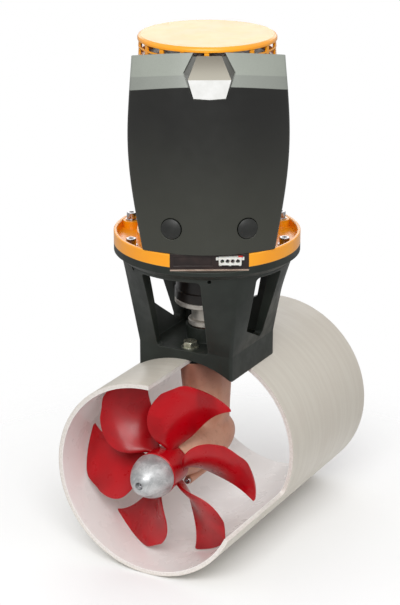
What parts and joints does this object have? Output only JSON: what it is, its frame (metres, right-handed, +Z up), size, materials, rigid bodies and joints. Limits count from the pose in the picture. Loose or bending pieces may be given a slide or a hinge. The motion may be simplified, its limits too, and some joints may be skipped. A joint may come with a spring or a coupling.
{
  "type": "bow thruster",
  "caption": "Tunnel bow thruster with a geared tailpiece, skewed-blade propeller and zinc nose, and an upright electric motor on a cast bracket.",
  "frame": {"origin": "where the tunnel's axis meets the axis of the motor and drive shaft", "axes": "+Z up the drive shaft towards the motor; +Y along the tunnel away from the propeller, so the propeller is on the -Y side; the motor's head is turned 30 degrees from -Y towards +X"},
  "size_m": [0.262, 0.3993, 0.676],
  "materials": {
    "composite_tunnel": "satin",
    "bronze": "rough",
    "gasket": "matte",
    "steel": "satin",
    "black_casting": "satin",
    "orange_paint": "gloss",
    "dark_cover": "satin",
    "badge_silver": "satin",
    "black_plastic": "satin",
    "box_plastic": "satin",
    "white_nylon": "matte",
    "red_plastic": "gloss",
    "propeller_red": "gloss",
    "zinc": "rough",
    "rubber_seal": "matte",
    "copper": "satin",
    "carbon": "matte",
    "iron": "rough"
  },
  "bodies": {
    "housing": {"tunnel": "composite_tunnel", "tailpiece_gasket": "gasket", "tailpiece": "bronze", "gearcase_cap": "bronze", "cap_screws": "steel", "propshaft_seals": "rubber_seal", "input_seal": "rubber_seal", "neck_collar": "steel", "tailpiece_bolts": "steel", "bolt_washers": "steel", "motor_bracket": "black_casting", "adapter_ring": "orange_paint", "ring_screws": "steel", "ring_washers": "steel", "motor_casing": "black_casting", "lower_end_shield": "iron", "upper_end_shield": "iron", "motor_bearings": "steel", "pole_pieces": "iron", "brush_holder": "black_plastic", "carbon_brushes": "carbon", "motor_cap": "orange_paint", "front_cover": "dark_cover", "cover_badge": "badge_silver", "cover_plugs": "black_plastic", "cover_screws": "steel", "cover_standoffs": "black_casting", "control_box": "box_plastic", "box_plate": "steel", "control_connector": "white_nylon", "connector_pins": "steel", "connector_latch": "red_plastic", "solenoids": "box_plastic", "solenoid_saddles": "steel", "terminal_studs": "copper", "drive_bearings": "steel", "prop_bearings": "steel"},
    "input_rotor": {"motor_shaft": "steel", "armature_core": "iron", "armature_windings": "copper", "commutator": "copper", "coupling_drum": "black_plastic", "coupling_spider": "rubber_seal", "coupling_flange": "steel", "coupling_keys": "steel", "drive_shaft": "steel", "pinion_gear": "steel", "pinion_pin": "steel"},
    "propeller_assembly": {"prop_shaft": "steel", "wheel_gear": "steel", "gear_key": "steel", "drive_pin": "steel", "propeller": "propeller_red", "prop_washer": "steel", "prop_nut": "steel", "anode": "zinc", "anode_screw": "steel"}
  },
  "joints": [
    {"name": "input_spin", "type": "hinge", "parent": "housing", "child": "input_rotor", "pos_m": [0, 0, 0.2], "axis": [0, 0, 1], "continuous": true},
    {"name": "propeller_spin", "type": "hinge", "parent": "housing", "child": "propeller_assembly", "pos_m": [0, -0.1, 0], "axis": [0, 1, 0], "continuous": true}
  ],
  "couplings": [
    {"joint": "propeller_spin", "follows": "input_spin", "ratio": -0.48148}
  ]
}
